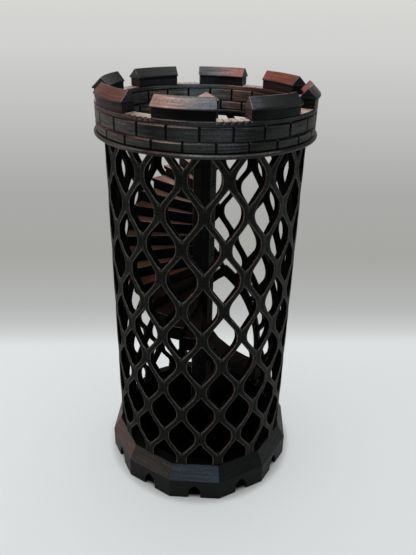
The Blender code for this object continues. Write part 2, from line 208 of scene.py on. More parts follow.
# Noise from the first number to the second gives a share or a roughness from the third to the fourth.
SPECKLE_SHARE = (0.30, 0.75, 0.78, 1.30)
SPECKLE_ROUGHNESS = (0.25, 0.8, 0.36, 0.52)
STREAK_RANGE = (0.30, 0.70)
LEVEL = (1.0, 1.0, 0.0)
# Share of full light that reaches an upright, a sloping and a flat face.
WALL_LIGHT = 0.45
SLOPE_LIGHT = 0.75
FLAT_LIGHT = 1.0
# From a wall to a slope and from a slope to a flat face, by how far the face looks up.
TO_SLOPE = (0.12, 0.40)
TO_FLAT = (0.80, 0.97)
# By how far a face looks away from the axis, from 1 straight out to -1 straight in.
TO_INSIDE = (-0.40, -0.75)
TO_FAR_SLOPE = (0.2, -0.2)
# Where a bar takes its painted edge highlight, its painted side shade and its painted back shade.
TO_BAR_EDGE = (0.985, 0.90)
TO_BAR_SIDE = (0.72, 0.50)
TO_BAR_BACK = (-0.45, -0.80)
TO_RING_FACE = (0.2, 0.5)
# Depths between which a brick turns into the painted shade of its joint, and a bar's copper rim into the
# painted shade of its side.
JOINT_DEPTHS = (0.00022, 0.0005)
RIM_DEPTHS = (0.0009, 0.0004)
# By how far the side of a bar is turned to the copper side before it shows copper.
TO_COPPER = (0.15, 0.55)

# The copper half of the filament faces this way, the black half the other.
COPPER_SIDE = -174.0
# Tones as (how far a face is turned to the copper side, -1 to 1, then red, green and blue out of 255).
# These tones are read as the faces look in the room's light: beside the two colours of the filament they
# hold painted sheen and highlights, such as the pale and blue-grey stops.
CROWN_WALL_TONES = ((-0.95, 31, 32, 31), (-0.80, 36, 37, 36), (-0.58, 19, 20, 20), (-0.32, 36, 38, 38),
                    (-0.05, 30, 31, 31), (0.20, 11, 12, 12), (0.55, 46, 44, 42), (0.90, 50, 46, 43))
CROWN_INSIDE_TONES = ((-0.87, 40, 41, 42), (-0.70, 68, 66, 63), (-0.53, 58, 58, 57), (-0.34, 74, 83, 90),
                      (-0.24, 72, 77, 82), (-0.04, 66, 68, 69), (0.15, 62, 52, 47), (0.40, 42, 30, 26),
                      (0.80, 44, 30, 25))
# The pale rose and grey stops of the roofs are painted highlights, where the slopes catch the overhead
# light.
ROOF_TONES = ((-0.90, 22, 23, 23), (-0.60, 24, 25, 26), (-0.30, 78, 83, 90), (-0.08, 104, 100, 101),
              (0.10, 145, 118, 108), (0.30, 120, 90, 80), (0.50, 80, 50, 43), (0.85, 70, 45, 39))
ROOF_INSIDE_TONES = ((-0.90, 24, 25, 25), (-0.60, 28, 29, 30), (-0.30, 46, 51, 58), (-0.08, 82, 80, 82),
                     (0.10, 122, 84, 74), (0.30, 122, 78, 67), (0.50, 102, 52, 43), (0.85, 88, 46, 38))
BASE_SLOPE_TONES = ((-0.93, 38, 39, 39), (-0.62, 22, 24, 24), (-0.40, 24, 27, 28), (-0.16, 52, 60, 67),
                    (0.05, 44, 45, 47), (0.36, 52, 47, 44), (0.78, 76, 62, 57))
BASE_WALL_TONES = ((-0.90, 11, 12, 12), (-0.60, 8, 9, 10), (-0.16, 10, 11, 11), (0.36, 11, 10, 10),
                   (0.78, 26, 22, 20))
# Merlon blocks are painted darker than the crown's walls, as painted shade under their overhanging roofs.
MERLON_TONES = ((-0.96, 42, 43, 42), (-0.87, 24, 25, 25), (-0.70, 20, 20, 20), (-0.50, 7, 7, 8),
                (-0.05, 4, 4, 5), (0.20, 14, 12, 12), (0.55, 34, 28, 26), (0.90, 52, 42, 39))
MERLON_INSIDE_TONES = ((-0.90, 22, 23, 24), (-0.40, 32, 37, 41), (-0.24, 30, 34, 38), (-0.10, 20, 20, 21),
                       (0.10, 18, 18, 18), (0.50, 30, 21, 18), (0.90, 34, 24, 20))
# The pale and blue-grey stops round the flange's lip are painted highlights.
FLANGE_TONES = ((-0.88, 36, 37, 36), (-0.79, 34, 35, 35), (-0.69, 84, 82, 80), (-0.58, 70, 65, 61),
                (-0.47, 66, 61, 59), (-0.36, 80, 79, 81), (-0.24, 98, 95, 96), (-0.12, 122, 118, 119),
                (0.00, 72, 64, 62), (0.14, 90, 76, 70), (0.27, 44, 41, 39), (0.41, 74, 70, 66),
                (0.80, 60, 48, 43))
SHELL_TONES = ((-0.90, 38, 39, 37), (-0.60, 20, 21, 20), (-0.15, 16, 17, 15), (0.40, 18, 18, 16),
               (0.85, 26, 25, 23))
NEWEL_TONES = ((-0.90, 30, 33, 30), (-0.50, 12, 13, 12), (0.10, 3, 3, 3), (0.50, 12, 11, 10),
               (0.90, 40, 36, 33))
STAIR_WALL_TONES = ((-0.90, 10, 11, 10), (-0.15, 4, 4, 4), (0.35, 6, 5, 5), (0.80, 14, 12, 11))
# The floor inside the tower: its black painted darker still, as painted shade in the tower's closed bottom.
FLOOR_SHADE_TONES = ((-1.0, 3, 3, 3), (1.0, 4, 3, 3))
# Painted light and shade on the treads' flat tops, by height above the ground: the upper tops lit through
# the crown, the lower ones shaded by the treads above.
TREAD_PAINTED_LIGHT = ((0.060, 18, 13, 11), (0.1085, 24, 17, 14), (0.112, 57, 36, 27), (0.122, 57, 44, 38),
               (0.138, 62, 44, 38), (0.146, 120, 92, 83), (0.158, 150, 118, 108), (0.195, 152, 124, 116))
HEIGHT_RANGE = (0.0, 0.2)
TURN_RANGE = (-1.0, 1.0)
# Painted shade in the bricks' sunk joints.
JOINT_SHADE = (5, 5, 5)
# The lattice bars: a painted highlight along their rounded edges, painted shade down their sides and on
# their backs.
SHELL_EDGE_HIGHLIGHT = (54, 55, 51)
BAR_SIDE_SHADE = (3, 3, 3)
BAR_BACK_SHADE = (7, 7, 7)
RIM_COPPER = (66, 30, 26)
# Tops of the walkway stones: copper-rose filament with a painted reflection of the overhead light.
ROSE_WITH_PAINTED_SHEEN = (160, 142, 133)

# ---------------------------------------------------------------- table, backdrop, light and camera
TABLE_SIZE = 60.0
TABLE_WHITE = (0.79, 0.81, 0.81, 1.0)
TABLE_SHADE = (0.02, 0.02, 0.02, 1.0)
# Distances from the axis between which the painted shade under the base ends, and the table's own painted
# glow begins.
SHADE_END = (base_high.x - 0.0045, base_high.x - 0.0025)
GLOW_BESIDE = (base_high.x, base_high.x + 0.004)
GLOW_BESIDE_SHARE = 0.6
GLOW_BEHIND = (0.055, 0.11)
# Tones of the painted glow on the table behind the tower, by distance back from the axis.
GLOW_NEAR = 0.085
GLOW_FAR = 30.0
GLOW_TONES = ((0.092, 220, 223, 223), (0.106, 206, 209, 208), (0.120, 195, 197, 196), (0.144, 181, 183, 182),
              (0.2425, 166, 166, 163), (0.427, 169, 169, 167), (0.973, 193, 193, 191), (2.4, 209, 210, 207),
              (24.0, 216, 216, 213))
BACKDROP_TONE = 216
ROOM_LIGHT = (0.10, 0.103, 0.107, 1.0)
# Each lamp's name, place, aim, width, depth and power.
LAMPS = (("overhead", (0.0, 0.05, 0.75), (0.0, 0.0, 0.1), 0.7, 0.6, 5.5),
         ("back", (0.0, 0.75, 0.35), (0.0, 0.0, 0.15), 1.1, 0.6, 1.2),
         ("left", (-0.7, -0.2, 0.35), (0.0, 0.0, 0.12), 0.5, 0.5, 1.4))
# The tower is seen from the side across from its doorway; the lamps turn with the view.
VIEW_TURN = 19.9
CAMERA_BACK = 0.24609
CAMERA_SIDE = -0.009715
CAMERA_HEIGHT = 0.23318
CAMERA_YAW = -2.88
CAMERA_PITCH = 27.63
CAMERA_ROLL = 1.40
CAMERA_LENS = 35.32
SENSOR_WIDTH = 36.0


def polar(radius, angle, z=0.0):
    turn = math.radians(angle)
    return Vector((radius * math.cos(turn), radius * math.sin(turn), z))


# ---------------------------------------------------------------- materials
def add_node(tree, kind, **settings):
    made = tree.nodes.new(kind)
    for key, value in settings.items():
        setattr(made, key, value)
    return made


def plug(tree, source, target):
    """Wire an output into an input, or set the input when the source is a plain value."""
    if isinstance(source, bpy.types.NodeSocket):
        tree.links.new(source, target)
    else:
        target.default_value = source


def maths(tree, operation, first, second=0.0):
    made = add_node(tree, "ShaderNodeMath", operation=operation)
    plug(tree, first, made.inputs[0])
    plug(tree, second, made.inputs[1])
    return made.outputs[0]


def ramp(tree, value, low, high, start=0.0, end=1.0, curve="SMOOTHSTEP"):
    """Carry a value between two limits over to the range from start to end."""
    made = add_node(tree, "ShaderNodeMapRange", interpolation_type=curve)
    plug(tree, value, made.inputs["Value"])
    made.inputs["From Min"].default_value = low
    made.inputs["From Max"].default_value = high
    made.inputs["To Min"].default_value = start
    made.inputs["To Max"].default_value = end
    return made.outputs["Result"]


def vector(tree, operation, first, second=(0.0, 0.0, 0.0)):
    made = add_node(tree, "ShaderNodeVectorMath", operation=operation)
    plug(tree, first, made.inputs[0])
    plug(tree, second, made.inputs[1])
    return made.outputs["Value" if operation in ("DOT_PRODUCT", "LENGTH") else "Vector"]


def up_part(tree, source):
    made = add_node(tree, "ShaderNodeSeparateXYZ")
    plug(tree, source, made.inputs[0])
    return made.outputs["Z"]


def blend(tree, amount, first, second, mode="MIX"):
    made = add_node(tree, "ShaderNodeMix", data_type="RGBA", blend_type=mode)
    plug(tree, amount, made.inputs["Factor"])
    plug(tree, first, made.inputs[6])
    plug(tree, second, made.inputs[7])
    return made.outputs[2]


def noise(tree, place, scale, detail=2.0):
    made = add_node(tree, "ShaderNodeTexNoise")
    plug(tree, place, made.inputs["Vector"])
    made.inputs["Scale"].default_value = scale
    made.inputs["Detail"].default_value = detail
    return made.outputs["Fac"]


def srgb(value):
    value /= 255.0
    return value / 12.92 if value <= 0.04045 else ((value + 0.055) / 1.055) ** 2.4


def paint(tone, light):
    """Base colour that looks like a tone (0 to 255) under the given share of full light."""
    return tuple(srgb(channel) / light for channel in tone) + (1.0,)


def colour_stops(tree, position, stops):
    """Colour ramp over (position, colour) stops."""
    made = add_node(tree, "ShaderNodeValToRGB")
    plug(tree, position, made.inputs[0])
    elements = made.color_ramp.elements
    while len(elements) < len(stops):
        elements.new(0.5)
    for element, (place, colour) in zip(elements, stops):
        element.position = place
        element.color = colour
    return made.outputs[0]


def tone_ramp(tree, value, tones, limits, light):
    """Colour ramp over tones that start with their place between two limits."""
    low, high = limits
    position = maths(tree, "DIVIDE", maths(tree, "SUBTRACT", value, low), high - low)
    stops = [((place - low) / (high - low), paint(tone, light)) for place, *tone in tones]
    return colour_stops(tree, position, stops)


def brick_joint_shade(tree, colour, away, radius, inner, outer):
    """Paint shade into the joints sunk into the outer and into the inner face of a ring of bricks."""
    top, bottom = JOINT_DEPTHS
    for side, face in ((1.0, outer), (-1.0, inner)):
        turned = ramp(tree, away, side * TO_RING_FACE[0], side * TO_RING_FACE[1])
        deep = ramp(tree, radius, face - side * top, face - side * bottom)
        sunk = maths(tree, "MULTIPLY", turned, deep)
        colour = blend(tree, sunk, colour, paint(JOINT_SHADE, WALL_LIGHT))
    return colour


def bar_colours(tree, colour, facing, away, radius, rim):
    """Bars get a painted highlight along their rounded edges and painted shade down their sides and on their
    backs, with copper near the rim.
    """
    near_rim = ramp(tree, radius, rim - RIM_DEPTHS[0], rim - RIM_DEPTHS[1])
    warm = maths(tree, "MULTIPLY", near_rim, ramp(tree, facing, *TO_COPPER))
    side_colour = blend(tree, warm, paint(BAR_SIDE_SHADE, WALL_LIGHT), paint(RIM_COPPER, WALL_LIGHT))
    colour = blend(tree, ramp(tree, away, *TO_BAR_EDGE), colour, paint(SHELL_EDGE_HIGHLIGHT, WALL_LIGHT))
    colour = blend(tree, ramp(tree, away, *TO_BAR_SIDE), colour, side_colour)
    return blend(tree, ramp(tree, away, *TO_BAR_BACK), colour, paint(BAR_BACK_SHADE, WALL_LIGHT))


def layer_relief(tree, shader, place, speckle):
    """Ridges of the printed layers, with the grain of the filament over them."""
    layers = add_node(tree, "ShaderNodeTexWave", wave_type="BANDS", bands_direction="Z")
    plug(tree, place, layers.inputs["Vector"])
    layers.inputs["Scale"].default_value = LAYER_SCALE
    layers.inputs["Distortion"].default_value = 0.6
    layers.inputs["Detail Scale"].default_value = 2.0
    grain_share = 0.8
    relief = maths(tree, "ADD", layers.outputs["Fac"], maths(tree, "MULTIPLY", speckle, grain_share))
    bump = add_node(tree, "ShaderNodeBump")
    bump.inputs["Strength"].default_value = 0.35
    bump.inputs["Distance"].default_value = 0.00005
    plug(tree, relief, bump.inputs["Height"])
    plug(tree, bump.outputs["Normal"], shader.inputs["Normal"])


def silk(name, walls, flat, slopes=None, inner_slopes=None, inside=None, rim=None, joints=None,
         painted_light_by_height=None, streaks=0.35, gloss=0.2):
    """Two-colour silk filament, whose tone depends on which way a face is turned; its tones also hold
    painted sheen and highlights.

    walls, inside, slopes and inner_slopes hold the tones of upright and sloping faces that look out
    and in; flat or painted_light_by_height those of level ones. rim is a lattice's outer radius, joints a
    brick ring's two radii.
    """
    material = bpy.data.materials.new(name)
    material.use_nodes = True
    tree = material.node_tree
    shader = tree.nodes["Principled BSDF"]
    place = add_node(tree, "ShaderNodeTexCoord").outputs["Object"]
    normal = add_node(tree, "ShaderNodeNewGeometry").outputs["Normal"]
    rise = up_part(tree, normal)

    speckle = noise(tree, place, SPECKLE_SCALE, 3.0)
    cloud = noise(tree, place, CLOUD_SCALE)
    streak = noise(tree, vector(tree, "MULTIPLY", place, STREAK_STRETCH), 1.0, 2.5)

    from_axis = vector(tree, "MULTIPLY", place, LEVEL)
    radius = vector(tree, "LENGTH", from_axis)
    level = vector(tree, "NORMALIZE", vector(tree, "MULTIPLY", normal, LEVEL))
    away = vector(tree, "DOT_PRODUCT", level, vector(tree, "NORMALIZE", from_axis))
    facing = vector(tree, "DOT_PRODUCT", level, tuple(polar(1.0, COPPER_SIDE)))
    wander = maths(tree, "ADD",
                   maths(tree, "MULTIPLY", maths(tree, "SUBTRACT", cloud, 0.5), CLOUD_WANDER),
                   maths(tree, "MULTIPLY", maths(tree, "SUBTRACT", streak, 0.5), STREAK_WANDER))
    facing = maths(tree, "ADD", facing, wander)

    colour = tone_ramp(tree, facing, walls, TURN_RANGE, WALL_LIGHT)
    if inside:
        inner_colour = tone_ramp(tree, facing, inside, TURN_RANGE, WALL_LIGHT)
        colour = blend(tree, ramp(tree, away, *TO_INSIDE), colour, inner_colour)
    if joints:
        colour = brick_joint_shade(tree, colour, away, radius, *joints)
    if rim:
        colour = bar_colours(tree, colour, facing, away, radius, rim)
    if slopes:
        slope_colour = tone_ramp(tree, facing, slopes, TURN_RANGE, SLOPE_LIGHT)
        if inner_slopes:
            far_colour = tone_ramp(tree, facing, inner_slopes, TURN_RANGE, SLOPE_LIGHT)
            slope_colour = blend(tree, ramp(tree, away, *TO_FAR_SLOPE), slope_colour, far_colour)
        colour = blend(tree, ramp(tree, rise, *TO_SLOPE), colour, slope_colour)
    # Level faces take painted light and shade by height where such tones are given.
    if painted_light_by_height:
        flat_colour = tone_ramp(tree, up_part(tree, place), painted_light_by_height, HEIGHT_RANGE, FLAT_LIGHT)
    else:
        flat_colour = paint(flat, FLAT_LIGHT)
    colour = blend(tree, ramp(tree, rise, *TO_FLAT), colour, flat_colour)

    # Speckle and streaks darken and lighten the tone; the streaks along the layers also paint in the sheen
    # of the layer lines.
    grain = maths(tree, "MULTIPLY", ramp(tree, speckle, *SPECKLE_SHARE),
                  ramp(tree, streak, *STREAK_RANGE, 1.0 - streaks, 1.0 + streaks))
    grey = add_node(tree, "ShaderNodeCombineColor")
    for channel in range(3):
        plug(tree, grain, grey.inputs[channel])
    plug(tree, blend(tree, 1.0, colour, grey.outputs[0], "MULTIPLY"), shader.inputs["Base Color"])

    plug(tree, ramp(tree, speckle, *SPECKLE_ROUGHNESS), shader.inputs["Roughness"])
    shader.inputs["Metallic"].default_value = 0.0
    shader.inputs["IOR"].default_value = 1.0 + gloss
    layer_relief(tree, shader, place, speckle)
    return material


# ---------------------------------------------------------------- mesh helpers
def finish_mesh(bm, name, smooth=35.0):
    bmesh.ops.recalc_face_normals(bm, faces=bm.faces)
    mesh = bpy.data.meshes.new(name)
    bm.to_mesh(mesh)
    bm.free()
    return crease(mesh, smooth)


def crease(mesh, angle):
    """Smooth the mesh, but for edges sharper than the angle."""
    mesh.shade_smooth()
    mesh.set_sharp_from_angle(angle=math.radians(angle))
    return mesh


def add_piece(name, mesh, material, body, nodes):
    piece = bpy.data.objects.new(name, mesh)
    bpy.context.scene.collection.objects.link(piece)
    mesh.materials.clear()
    mesh.materials.append(material)
    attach(piece, body)
    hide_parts(*nodes)
    return piece


def soften(piece, width, segments=2, angle=35.0):
    """Round the edges of a piece as the nozzle leaves them."""
    bevel = piece.modifiers.new("softened_edges", "BEVEL")
    bevel.width = width
    bevel.segments = segments
    bevel.limit_method = "ANGLE"
    bevel.angle_limit = math.radians(angle)
    bevel.harden_normals = False
    return piece


def bake_boolean(mesh, name, steps):
    """Apply (mesh, operation) steps to a mesh and return the result."""
    work = bpy.data.objects.new(name, mesh)
    bpy.context.scene.collection.objects.link(work)
    helpers = []
    for other, operation in steps:
        helper = bpy.data.objects.new("helper", other)
        bpy.context.scene.collection.objects.link(helper)
        helpers.append(helper)
        boolean = work.modifiers.new(operation.lower(), "BOOLEAN")
        boolean.operation = operation
        boolean.solver = "EXACT"
        boolean.object = helper
    graph = bpy.context.evaluated_depsgraph_get()
    result = bpy.data.meshes.new_from_object(work.evaluated_get(graph))
    result.name = name
    for item in [work] + helpers:
        bpy.data.objects.remove(item, do_unlink=True)
    return result


def join_rings(bm, one, two):
    """Wall of faces between two rings with the same number of corners."""
    for k in range(len(one)):
        bm.faces.new((one[k - 1], one[k], two[k], two[k - 1]))


def sweep_mesh(name, profile, angles, closed_turn=False, smooth=35.0):
    """Carry a closed (radius, z) outline round the axis through the given angles."""
    bm = bmesh.new()
    rings = [[bm.verts.new(polar(radius, angle, z)) for radius, z in profile] for angle in angles]
    for one, two in zip(rings, rings[1:]):
        join_rings(bm, one, two)
    if closed_turn:
        join_rings(bm, rings[-1], rings[0])
    else:
        bm.faces.new(rings[0])
        bm.faces.new(rings[-1])
    return finish_mesh(bm, name, smooth)


def lathe_mesh(name, profile, steps):
    """Turn a (radius, z) line that starts and ends on the axis."""
    bm = bmesh.new()
    bottom = bm.verts.new((0.0, 0.0, profile[0][1]))
    top = bm.verts.new((0.0, 0.0, profile[-1][1]))
    rings = [[bm.verts.new(polar(radius, angle, z)) for angle in full_turn(steps)]
             for radius, z in profile[1:-1]]
    for one, two in zip(rings, rings[1:]):
        join_rings(bm, one, two)
    for k in range(steps):
        bm.faces.new((bottom, rings[0][k], rings[0][k - 1]))
        bm.faces.new((top, rings[-1][k - 1], rings[-1][k]))
    return finish_mesh(bm, name)


def wall_mesh(name, angles, levels, outer, inner, smooth):
    """Closed ring of wall: outer and inner give the radius at an angle and a height."""
    bm = bmesh.new()
    outside = [[bm.verts.new(polar(outer(angle, z), angle, z)) for angle in angles] for z in levels]
    inside = [[bm.verts.new(polar(inner(angle, z), angle, z)) for angle in angles] for z in levels]
    for grid in (outside, inside):
        for low, high in zip(grid, grid[1:]):
            join_rings(bm, low, high)
    join_rings(bm, outside[0], inside[0])
    join_rings(bm, outside[-1], inside[-1])
    return finish_mesh(bm, name, smooth)


def prism_mesh(name, outline, angle, outer, inner):
    """Stand an (across, up) outline upright and extrude it from one radius in to another."""
    bm = bmesh.new()
    spin = Matrix.Rotation(math.radians(angle), 3, "Z")
    front = [bm.verts.new(spin @ Vector((outer, x, z))) for x, z in outline]
    back = [bm.verts.new(spin @ Vector((inner, x, z))) for x, z in outline]
    bm.faces.new(front)
    bm.faces.new(back)
    join_rings(bm, front, back)
    return finish_mesh(bm, name)


def even_angles(start, sweep, steps):
    return [start + sweep * i / steps for i in range(steps + 1)]


def full_turn(steps):
    return [360.0 * i / steps for i in range(steps)]


def ring_outline(inner, outer, low, high):
    return [(outer, high), (outer, low), (inner, low), (inner, high)]


def pointed_arch(half_width, foot, spring, apex, steps):
    """Outline of a doorway whose two arcs are struck from points on the spring line."""
    rise = apex - spring
    radius = (half_width ** 2 + rise ** 2) / (2 * half_width)
    centre = half_width - radius
    top = math.acos(-centre / radius)
    right = [(half_width, foot)]
    for i in range(steps):
        turn = top * i / steps
        right.append((centre + radius * math.cos(turn), spring + radius * math.sin(turn)))
    return right + [(0.0, apex)] + [(-x, z) for x, z in reversed(right)]


# ---------------------------------------------------------------- lattice shell
def opening_quarter():
    """From the apex of an opening, down its straight side and round the bend to its widest point."""
    corner = Vector((OPENING_WIDTH, OPENING_SIDE))
    apex = Vector((0.0, OPENING_HEIGHT))
    along = (apex - corner).normalized()
    lean = math.atan2(abs(along.x), along.y)
    tangent = BEND_RADIUS * math.tan(lean / 2)
    start = corner + along * tangent
    centre = Vector((OPENING_WIDTH - BEND_RADIUS, OPENING_SIDE - tangent))
    points = [apex.lerp(start, i / STRAIGHT_STEPS) for i in range(STRAIGHT_STEPS)]
    for i in range(BEND_STEPS):
        turn = lean * (1 - i / BEND_STEPS)
        points.append(centre + BEND_RADIUS * Vector((math.cos(turn), math.sin(turn))))
    points.append(Vector((OPENING_WIDTH, 0.0)))
    return points


def crossing_depth(u, v):
    """Two strands lie side by side at a crossing, with a shallow valley between them."""
    if min(u, v) == 0.0 or max(u, v) == 1.0:
        return ACROSS_DEPTH[ACROSS.index(u if v in (0.0, 1.0) else v)]
    aside = abs(u - v)
    along = abs(u + v - 1.0)
    valley = VALLEY_DEPTH * max(0.0, 1 - aside / VALLEY_SPREAD) ** VALLEY_POWER
    flank = ACROSS_DEPTH[0] * max(0.0, (aside - FLANK_START) / FLANK_SPREAD) ** FLANK_POWER
    return max(valley * (1 - VALLEY_FADE * along), flank)


def lattice_mesh(name):
    bm = bmesh.new()
    pitch = SHELL_RADIUS * math.radians(COLUMN_STEP)
    quarter = opening_quarter()
    steps = len(quarter) - 1
    diagonal = Vector((pitch, ROW_STEP))
    far_side = [diagonal - quarter[steps - k] for k in range(steps + 1)]
    node_half_width = pitch - OPENING_WIDTH
    node_half_height = ROW_STEP - OPENING_HEIGHT
    made = {}

    def vertex(centre, across, up, depth):
        x = centre[0] * pitch + across
        turn = math.degrees(x / SHELL_RADIUS) % 360.0
        z = ROW_TOP - centre[1] * ROW_STEP + up
        key = (round(turn * STEPS_PER_DEGREE) % (360 * STEPS_PER_DEGREE), round(z * STEPS_PER_METRE),
               round(depth * STEPS_PER_METRE))
        if key not in made:
            made[key] = bm.verts.new(polar(SHELL_RADIUS - depth, turn, z))
        return made[key]

    def quad(corners):
        bm.faces.new([vertex(*corner) for corner in corners])

    def both_faces(centre, cells):
        """The front face of a cell and its counterpart on the inside of the shell."""
        quad([(centre, x, z, depth) for x, z, depth in cells])
        quad([(centre, x, z, SHELL_DEPTH - depth) for x, z, depth in reversed(cells)])

    def bar(centre, side):
        """A bar from the crossing above an opening down to the crossing beside it."""
        for k in range(steps):
            rows = [[quarter[m].lerp(far_side[m], t) for t in ACROSS] for m in (k, k + 1)]
            for j in range(len(ACROSS) - 1):
                cells = [(side * rows[m][n].x, rows[m][n].y, ACROSS_DEPTH[n])
                         for m, n in ((0, j), (1, j), (1, j + 1), (0, j + 1))]
                both_faces(centre, cells)
            for edge in (0, len(ACROSS) - 1):
                ends = [(side * rows[m][edge].x, rows[m][edge].y) for m in (0, 1)]
                front = ACROSS_DEPTH[edge]
                quad([(centre, *ends[0], front), (centre, *ends[1], front),
                      (centre, *ends[1], SHELL_DEPTH - front), (centre, *ends[0], SHELL_DEPTH - front)])

    def crossing(centre):
        grid = [[(node_half_width * (u - v), node_half_height * (u + v - 1.0), crossing_depth(u, v))
                 for v in ACROSS] for u in ACROSS]
        for i in range(len(ACROSS) - 1):
            for j in range(len(ACROSS) - 1):
                both_faces(centre, [grid[i][j], grid[i + 1][j], grid[i + 1][j + 1], grid[i][j + 1]])

    for row in range(FIRST_ROW, LAST_ROW + 1):
        for column in range(COLUMN_COUNT):
            if (column + row) % 2:
                bar((column, row), 1.0)
                bar((column, row), -1.0)
            else:
                crossing((column, row))

    ring_middle = shell_high.z - TOP_RING / 2
    for height, direction in ((shell_low.z, -1.0), (ring_middle, 1.0)):
        everything = list(bm.verts) + list(bm.edges) + list(bm.faces)
        cut = bmesh.ops.bisect_plane(bm, geom=everything, dist=CUT_TOLERANCE, plane_co=(0, 0, height),
                                     plane_no=(0, 0, direction), clear_outer=True)
        rim = [item for item in cut["geom_cut"] if isinstance(item, bmesh.types.BMEdge)]
        bmesh.ops.edgenet_fill(bm, edges=rim)
    return finish_mesh(bm, name, LATTICE_CREASE)


def build_shell(material):
    """Lattice with a thin ring along its top, cut away for the doorway."""
    band = ring_outline(SHELL_RADIUS - SHELL_DEPTH, SHELL_RADIUS, shell_high.z - TOP_RING, shell_high.z)
    ring = sweep_mesh("ring", band, full_turn(ROUND_STEPS), True)
    margin = SURROUND_WIDTH + SURROUND_SEAM
    arch = pointed_arch(DOOR_HALF_WIDTH + margin, 0.0, DOOR_SPRING, DOOR_APEX + margin * APEX_GROWTH,
                        ARCH_STEPS)
    door = prism_mesh("door", arch, DOOR_ANGLE, CUT_REACH, DOOR_CUT_INNER)
    steps = [(ring, "UNION"), (door, "DIFFERENCE")]
    mesh = crease(bake_boolean(lattice_mesh("lattice"), "shell_lattice", steps), LATTICE_CREASE)
    add_piece("shell_lattice", mesh, material, "tower", ["lattice_shell"])


def build_surround(material):
    """Moulding round the doorway: a rounded outer roll and a thin inner fillet."""
    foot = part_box("door_surround")[0].z
    arches = [(pointed_arch(DOOR_HALF_WIDTH + offset, foot, DOOR_SPRING, DOOR_APEX + offset * APEX_GROWTH,
                            ARCH_STEPS), SURROUND_INNER + height) for offset, height in SURROUND_SECTION]
    bm = bmesh.new()
    rings = []
    for i in range(len(arches[0][0])):
        ring = []
        for arch, radius in arches:
            x, z = arch[i]
            ring.append(bm.verts.new((x, math.sqrt(radius ** 2 - x ** 2), z)))
        rings.append(ring)
    for one, two in zip(rings, rings[1:]):
        join_rings(bm, one, two)
    bm.faces.new(rings[0])
    bm.faces.new(rings[-1])
    mesh = finish_mesh(bm, "doorway_moulding", smooth=40.0)
    add_piece("doorway_moulding", mesh, material, "tower", ["door_surround"])


# ---------------------------------------------------------------- base
def build_base(material, floor_material):
    """Twelve-sided plinth with a notch under each side and a sill in the doorway, and the floor."""
    outline = [(BASE_RIM, base_high.z), (base_high.x, BASE_WALL_TOP), (base_high.x, 0.0),
               (LEDGE_RADIUS, 0.0), (LEDGE_RADIUS, LEDGE_HEIGHT), (BASE_INNER_RIM, LEDGE_HEIGHT),
               (BASE_INNER_RIM, base_high.z)]
    plinth = sweep_mesh("plinth", outline, full_turn(BASE_SIDES), True)
    notch = pointed_arch(NOTCH_HALF_WIDTH, NOTCH_FOOT, NOTCH_SPRING, NOTCH_APEX, NOTCH_STEPS)
    steps = []
    for i in range(BASE_SIDES):
        angle = (i + 0.5) * 360.0 / BASE_SIDES
        steps.append((prism_mesh("notch", notch, angle, NOTCH_OUTER, NOTCH_INNER), "DIFFERENCE"))
    reach = DOOR_HALF_WIDTH + SURROUND_WIDTH + GAP
    sill = [(-reach, floor_high.z), (reach, floor_high.z), (reach, SILL_TOP), (-reach, SILL_TOP)]
    steps.append((prism_mesh("sill", sill, DOOR_ANGLE, CUT_REACH, SILL_INNER), "DIFFERENCE"))
    mesh = crease(bake_boolean(plinth, "plinth", steps), BASE_CREASE)
    plinth = add_piece("plinth", mesh, material, "tower", ["base_plinth"])
    soften(plinth, 0.00022, angle=BASE_CREASE)

    plate = ring_outline(PEG_RADIUS + GAP, floor_high.x, floor_low.z, floor_high.z)
    mesh = sweep_mesh("tower_floor", plate, full_turn(BASE_SIDES), True, BASE_CREASE)
    floor = add_piece("tower_floor", mesh, floor_material, "tower", ["floor_plate"])
    soften(floor, 0.00015, angle=BASE_CREASE)


# ---------------------------------------------------------------- stair
def newel_ring(bm, z, inset, odd):
    """One level ring round the octagonal shaft; every other side carries an upright joint."""
    half_side = math.cos(math.radians(NEWEL_SIDE_SWEEP / 2))
    corners = []
    for side in range(NEWEL_SIDES):
        start, end = polar(1.0, side * NEWEL_SIDE_SWEEP), polar(1.0, (side + 1) * NEWEL_SIDE_SWEEP)
        has_joint = (side + odd) % 2 == 0
        for place, in_joint in SIDE_PLACES:
            depth = inset + (NEWEL_GROOVE if in_joint and has_joint else 0.0)
            spot = start.lerp(end, place) * (NEWEL_RADIUS - depth / half_side)
            corners.append(bm.verts.new((spot.x, spot.y, z)))
    return corners


